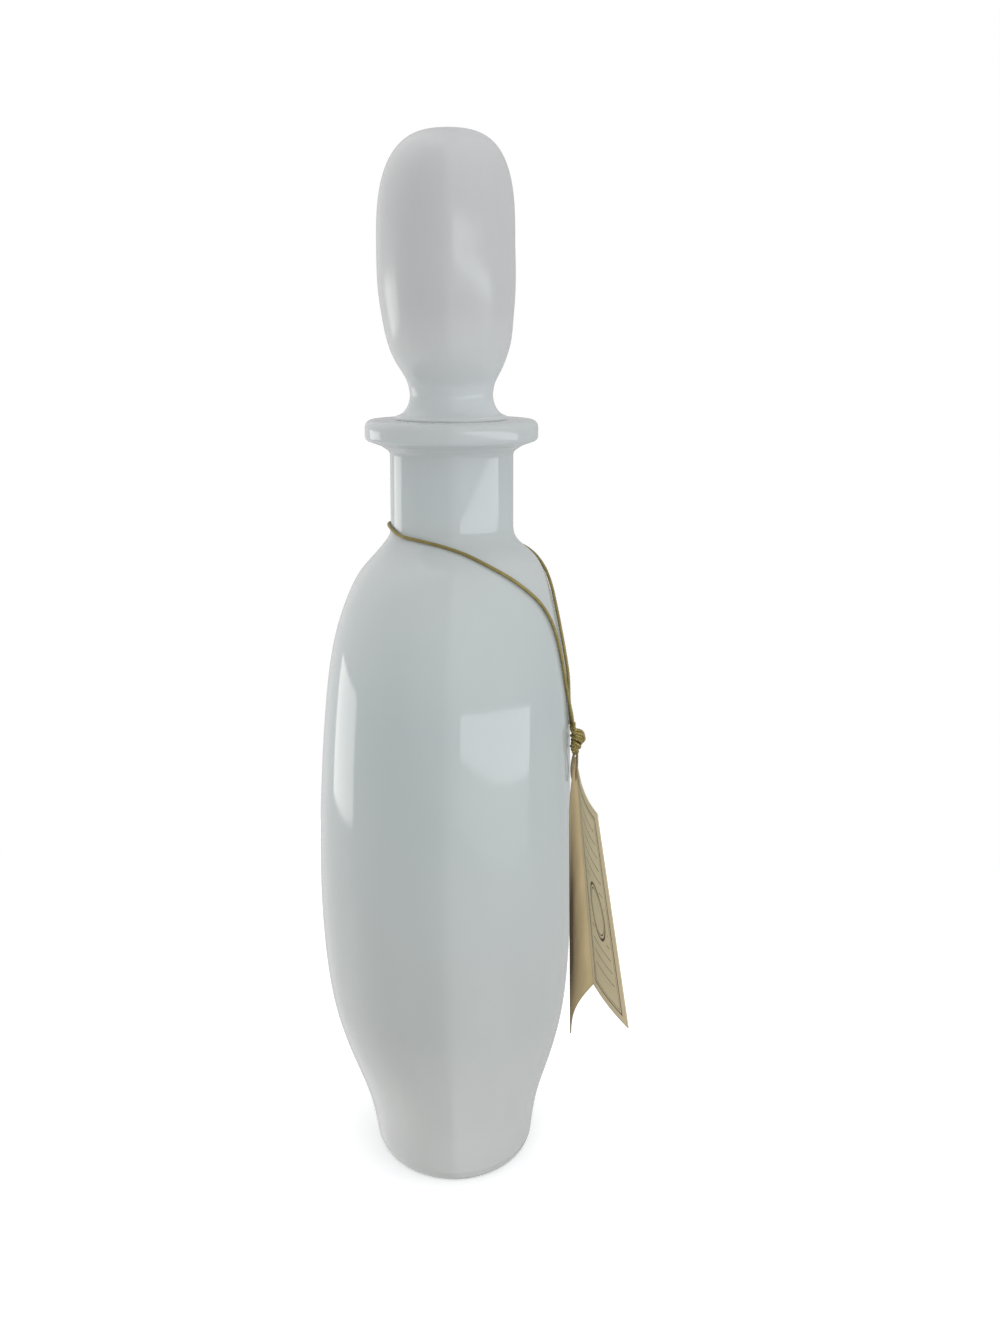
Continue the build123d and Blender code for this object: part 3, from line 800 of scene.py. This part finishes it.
head_shares = np.array([
    (0.000, 0.000, 0.000, 0.00), (0.077, 0.080, 0.065, 0.00), (0.148, 0.272, 0.245, 0.00),
    (0.227, 0.497, 0.470, 0.20), (0.350, 0.733, 0.715, 0.40), (0.500, 0.869, 0.860, 0.63),
    (0.693, 0.980, 0.972, 0.83), (1.000, 1.000, 1.000, 1.00)])
below = rounded([
    (0.3, SPIGOT_LOW), (BEAD_RADIUS, SPIGOT_LOW), (BEAD_RADIUS, BEAD_TOP), (SPIGOT_RADIUS, BEAD_TOP),
    (SPIGOT_RADIUS, LIP_TOP), (COLLAR_RADIUS, LIP_TOP), (COLLAR_RADIUS - 0.05, LIP_TOP + 0.4),
    (COLLAR_RADIUS - 0.4, LIP_TOP + COLLAR_HEIGHT)], STOPPER_ROUNDINGS)
turn = np.linspace(np.pi / 2, 0, FLARE_ROWS)
flare = np.stack([WAIST[0] + (COLLAR_RADIUS - WAIST[0]) * (1 - np.cos(turn)),
                  WAIST_HEIGHT - (WAIST_RISE - COLLAR_HEIGHT) * np.sin(turn)], axis=1)
head = drawn_out(stretch(WAIST_HEIGHT, CROWN_LOW, WAIST, HEAD, head_shares), HEAD_ROWS)
head[:, 3] = NECK_X - head[:, 3]
turn = np.linspace(0.03, np.pi / 2 - 0.004, CROWN_ROWS)
rise = np.sin(turn) ** (2 / CROWN_POWER)
draw = np.cos(turn) ** (2 / CROWN_POWER)
crown = np.stack([CROWN_LOW + CROWN * rise, HEAD[0] * draw, HEAD[1] * draw,
                  NECK_X - HEAD[2] - rise**2 * (CROWN_LEAN - HEAD[2])], axis=1)
stopper_rows = np.vstack([round_rows(below[:-1], NECK_X), round_rows(flare[1:-1], NECK_X), head, crown])
stopper = skin("stopper_glass", stopper_rows, STOPPER_COLUMNS, stopper_finish)
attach(stopper, "stopper")
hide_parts("stopper")

# %% [markdown]
# The seal is a ribbed sleeve that grips the bore. Its section is a closed line, so the skin joins its
# last row to its first.

# %% Seal
SEAL_BORE, SEAL_CORE, SEAL_RADIUS = 9.45, 11.65, 13.45
SEAL_LOW, SEAL_HIGH = 191.9, 217.9
RIB, RIBS = 1.6, 4
SEAM_RADIUS, SEAL_COLUMNS = 10.5, 96
OUTER_ROUND, INNER_ROUND = 0.5, 0.2
rib_starts = SEAL_LOW + np.arange(RIBS) * (SEAL_HIGH - SEAL_LOW - RIB) / (RIBS - 1)
section = [(SEAM_RADIUS, SEAL_LOW), (SEAL_RADIUS, SEAL_LOW), (SEAL_RADIUS, SEAL_LOW + RIB)]
for start in rib_starts[1:]:
    section += [(SEAL_CORE, section[-1][1]), (SEAL_CORE, start), (SEAL_RADIUS, start),
                (SEAL_RADIUS, start + RIB)]
section += [(SEAL_BORE, SEAL_HIGH), (SEAL_BORE, SEAL_LOW), (SEAM_RADIUS, SEAL_LOW)]
groove = [INNER_ROUND, INNER_ROUND, OUTER_ROUND, OUTER_ROUND]
seal_line = rounded(section, [OUTER_ROUND] * 2 + groove * (RIBS - 1) + [INNER_ROUND] * 2, steps=5)
seal = skin("seal_sleeve", round_rows(seal_line[:-1], NECK_X), SEAL_COLUMNS, seal_finish, ring=True)
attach(seal, "seal")
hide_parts("stopper_seal")

# %% [markdown]
# The decanter stands on a round white table in a white room. The table shines a little to the camera
# only, so it looks white, while the light that falls on it still fades under the foot as a shadow.
# What the glass mirrors is the room round the camera: darker to its left, bright to its right, with one
# clear edge between them. The world shows that room to glossy rays alone, by a ramp round the horizon
# whose stops are a place and a grey. Behind the decanter it is plain white.

# %% Table and background
TABLE_RADIUS, TABLE_CORNERS = 0.36, 96
TABLE_GLOW, AIR_LIGHT = 0.36, 0.78
table_finish, tree, shader = new_material("table_white", {
    "Base Color": (0.92, 0.92, 0.92, 1), "Roughness": 0.9, "Specular IOR Level": 0.0})
rays = add_node(tree, "ShaderNodeLightPath").outputs
glow = add_node(tree, "ShaderNodeEmission", {}, {"Color": (1, 1, 1, 1), "Strength": TABLE_GLOW})
both = add_node(tree, "ShaderNodeAddShader", {}, {0: shader.outputs[0], 1: glow.outputs[0]})
seen = add_node(tree, "ShaderNodeMixShader", {}, {
    0: rays["Is Camera Ray"], 1: shader.outputs[0], 2: both.outputs[0]})
tree.links.new(seen.outputs[0], tree.nodes["Material Output"].inputs["Surface"])
around = np.linspace(0, 2 * np.pi, TABLE_CORNERS, endpoint=False)
disc = TABLE_RADIUS * np.stack([np.cos(around), np.sin(around), 0 * around], axis=1)
table = add_mesh("table", disc, [list(range(TABLE_CORNERS))], table_finish)
table.visible_glossy = False

ROOM_TONES = ((0.0, 0.6), (0.05, 0.35), (0.226, 0.15), (0.270, 0.95), (0.5, 0.6), (0.66, 0.55),
              (0.76, 0.55), (0.82, 1.0), (0.93, 1.0), (1.0, 0.6))
world = bpy.data.worlds.new("studio")
scene.world = world
world.use_nodes = True
tree = world.node_tree
tree.nodes.clear()
rays = add_node(tree, "ShaderNodeLightPath").outputs
shown = combine(tree, "MAXIMUM", rays["Is Camera Ray"], rays["Is Transmission Ray"])
soft = add_node(tree, "ShaderNodeBackground", {}, {"Color": (0.97, 0.985, 1.0, 1), "Strength": AIR_LIGHT})
white = add_node(tree, "ShaderNodeBackground", {}, {"Color": (1, 1, 1, 1), "Strength": 1.0})
mixed = add_node(tree, "ShaderNodeMixShader", {}, {0: shown, 1: soft.outputs[0], 2: white.outputs[0]})
where = add_node(tree, "ShaderNodeTexCoord").outputs["Generated"]
horizon = add_node(tree, "ShaderNodeTexGradient", {"gradient_type": "RADIAL"}, {
    "Vector": where}).outputs["Fac"]
tone = colour_ramp(tree, horizon, [(place, (grey, grey, grey)) for place, grey in ROOM_TONES])
room = add_node(tree, "ShaderNodeBackground", {}, {"Color": tone, "Strength": 1.0})
mirrored = add_node(tree, "ShaderNodeMixShader", {}, {
    0: rays["Is Glossy Ray"], 1: mixed.outputs[0], 2: room.outputs[0]})
add_node(tree, "ShaderNodeOutputWorld", {}, {0: mirrored.outputs[0]})

# %% [markdown]
# Two windows light the photograph: a wide one at the right, whose reflection is the bright patch on
# the belly, and a narrow one behind at the left, which makes the crescent. The wide one is two boxes,
# the bright sky and the darker ground below it, and the lower edge of each slopes as it does in the
# glass. All three stand twelve metres off, because the patch on the belly sits as high on the form as
# the one on the stopper. A fill in front and one overhead only soften the shade and are not mirrored.

# %% Lights
WINDOW_DISTANCE = 12.0
RIGHT_WINDOW, RIGHT_WIDTH = 56, 21.0
DAYLIGHT, GROUND_LIGHT, WARM_LIGHT, WHITE_LIGHT = (0.91, 0.96, 1), (0.90, 0.95, 1), (1, 1, 0.96), (1, 1, 1)


def soft_box(name, azimuth, distance, width, height, middle_z, radiance, colour, roll=0.0):
    """A rectangular light that faces the axis. The azimuth is measured from the camera's side towards +X,
    and a positive roll lowers its right end. Its power is radiance * pi * area, so the radiance is what a
    mirror would show."""
    data = bpy.data.lights.new(name, "AREA")
    data.shape = "RECTANGLE"
    data.size, data.size_y = width, height
    data.energy = radiance * math.pi * width * height
    data.color = colour
    box = bpy.data.objects.new(name, data)
    angle = math.radians(azimuth)
    box.location = (distance * math.sin(angle), -distance * math.cos(angle), middle_z)
    box.rotation_euler = (math.radians(90), math.radians(roll), angle)
    scene.collection.objects.link(box)
    return box


soft_box("window_sky", RIGHT_WINDOW, WINDOW_DISTANCE, RIGHT_WIDTH, height=2.2, middle_z=0.12,
         radiance=2.4, colour=DAYLIGHT, roll=8.7)
soft_box("window_ground", RIGHT_WINDOW, WINDOW_DISTANCE, RIGHT_WIDTH, height=1.9, middle_z=-1.86,
         radiance=0.5, colour=GROUND_LIGHT, roll=5.5)
soft_box("window_left", -123, WINDOW_DISTANCE, width=6.0, height=2.6, middle_z=-1.3,
         radiance=1.9, colour=WARM_LIGHT)
front_light = soft_box("front_fill", -14, distance=1.6, width=1.0, height=1.0, middle_z=0.45,
                       radiance=0.6, colour=WHITE_LIGHT)
front_light.visible_glossy = False
top_light = soft_box("overhead", 0, distance=0.0, width=1.2, height=1.2, middle_z=1.5,
                     radiance=1.3, colour=WHITE_LIGHT)
top_light.rotation_euler = (0, 0, 0)
top_light.visible_glossy = False
